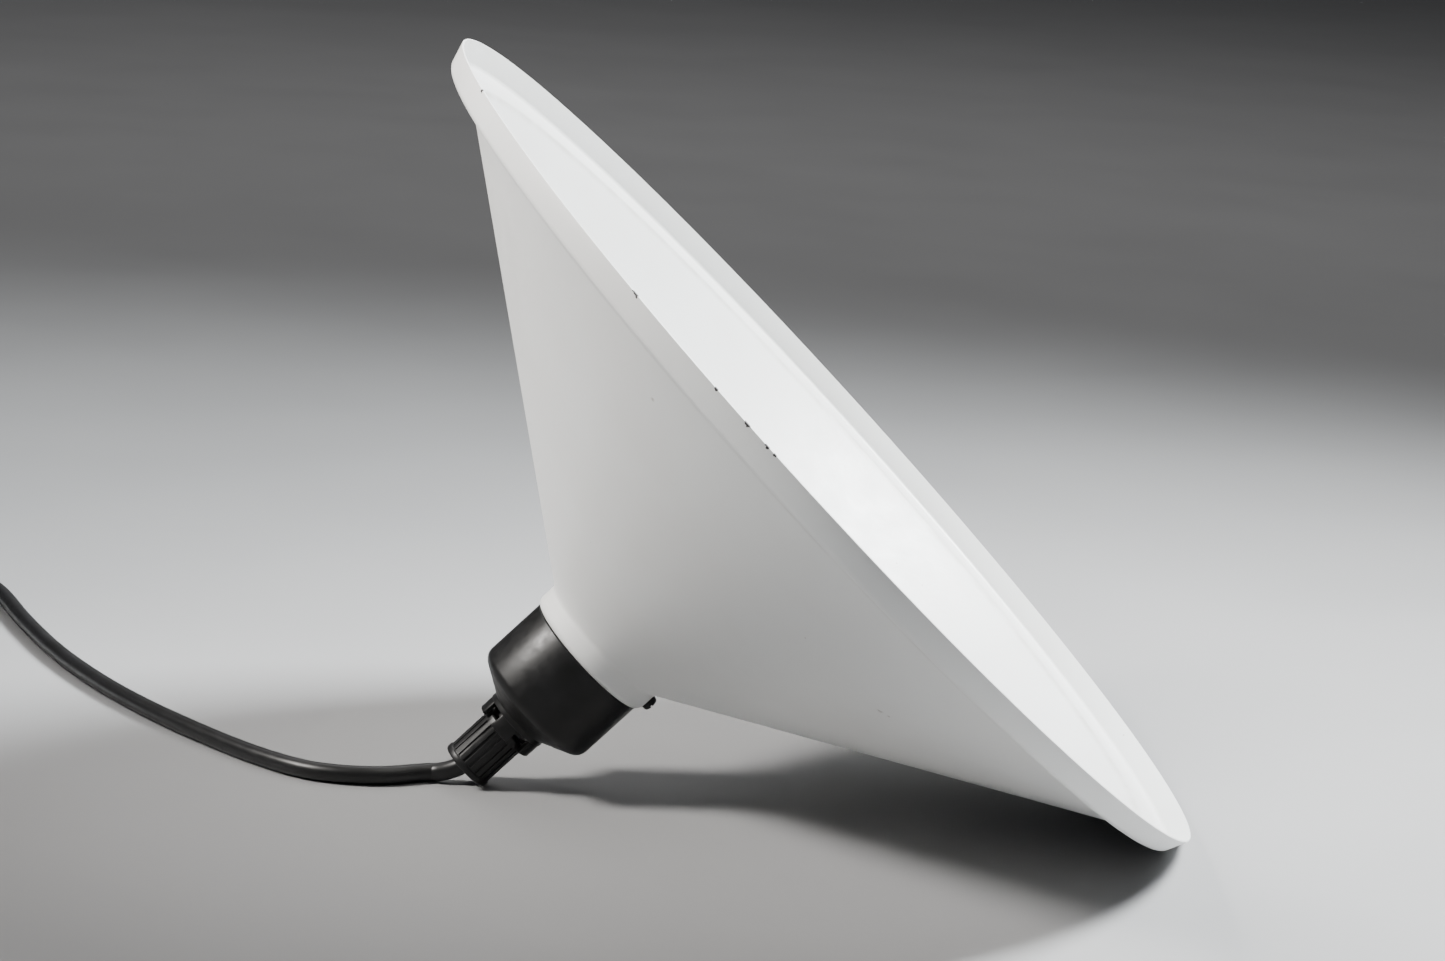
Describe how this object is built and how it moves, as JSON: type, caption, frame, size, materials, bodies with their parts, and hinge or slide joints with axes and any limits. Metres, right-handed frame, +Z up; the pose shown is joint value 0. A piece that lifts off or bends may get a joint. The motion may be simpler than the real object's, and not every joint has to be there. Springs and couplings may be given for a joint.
{
  "type": "pendant lamp",
  "caption": "Conical sheet-metal pendant lamp on its side, with a black screw lampholder, cord grip, flex and a conical ceiling cup.",
  "frame": {"origin": "on the surface the lamp lies on, under the middle of the shade's bounding box; the flex and what is on it are left out of that box", "axes": "+Z up; +Y along the mouth's diameter that stays level, towards the coiled flex; the mouth faces +X and up"},
  "size_m": [0.6336, 0.5196, 0.2524],
  "materials": {
    "white_lacquer": "smooth satin white lacquer on sheet steel",
    "black_steel": "black screw",
    "black_plastic": "black moulded plastic with a soft sheen",
    "zinc_steel": "zinc-plated steel",
    "cream_plastic": "cream heat-resistant moulding",
    "brass": "stamped brass",
    "brown_core": "brown insulation",
    "blue_core": "blue insulation",
    "black_flex": "soft black flex sheath"
  },
  "bodies": {
    "holder": {"holder_cap": "black_plastic", "holder_skirt": "black_plastic", "contact_block": "cream_plastic", "screw_shell": "brass", "live_strap": "brass", "side_contact": "brass", "block_rivets": "zinc_steel", "live_terminal": "brass", "neutral_terminal": "brass", "terminal_screws": "zinc_steel", "live_core": "brown_core", "neutral_core": "blue_core", "grip_base": "black_plastic", "cord_lead": "black_flex", "cord_coil": "black_flex", "cord_tail": "black_flex", "ceiling_cup": "black_plastic", "cup_gland": "black_plastic", "cup_screw": "black_plastic", "terminal_block": "cream_plastic", "block_screws": "zinc_steel", "tail_cores": "brown_core"},
    "shade": {"shade": "white_lacquer"},
    "shade_screw": {"shade_screw": "black_steel"},
    "washer": {"ring_washer": "zinc_steel"},
    "ring": {"shade_ring": "black_plastic"},
    "contact": {"centre_contact": "brass"},
    "collet": {"grip_collet": "black_plastic"},
    "nut": {"grip_nut": "black_plastic"}
  },
  "joints": [
    {"name": "shade_turn", "type": "hinge", "parent": "holder", "child": "shade", "pos_m": [-0.07517, 0, 0.04775], "axis": [0.6917, 0, 0.7222], "continuous": true},
    {"name": "shade_screw_turn", "type": "hinge", "parent": "shade", "child": "shade_screw", "pos_m": [-0.0547, 0, 0.03299], "axis": [0.7222, 0, -0.6917], "range_deg": [0, 180]},
    {"name": "ring_slide", "type": "slide", "parent": "holder", "child": "washer", "axis": [0.6917, 0, 0.7222], "range_m": [0, 0.005]},
    {"name": "ring_turn", "type": "hinge", "parent": "washer", "child": "ring", "pos_m": [-0.07102, 0, 0.05209], "axis": [0.6917, 0, 0.7222], "range_deg": [0, 720]},
    {"name": "contact_press", "type": "hinge", "parent": "holder", "child": "contact", "pos_m": [-0.08125, 0, 0.05226], "axis": [0, 1, 0], "range_deg": [0, 12], "stiffness_Nm_per_rad": 0.11},
    {"name": "collet_slide", "type": "slide", "parent": "holder", "child": "collet", "axis": [-0.6917, 0, -0.7222], "range_m": [0, 0.00225]},
    {"name": "nut_turn", "type": "hinge", "parent": "collet", "child": "nut", "pos_m": [-0.10769, 0, 0.01381], "axis": [-0.6917, 0, -0.7222], "range_deg": [0, 540]}
  ],
  "couplings": [
    {"joint": "ring_turn", "follows": "ring_slide", "rad_per_m": 2513.3},
    {"joint": "nut_turn", "follows": "collet_slide", "rad_per_m": 4188.8}
  ]
}
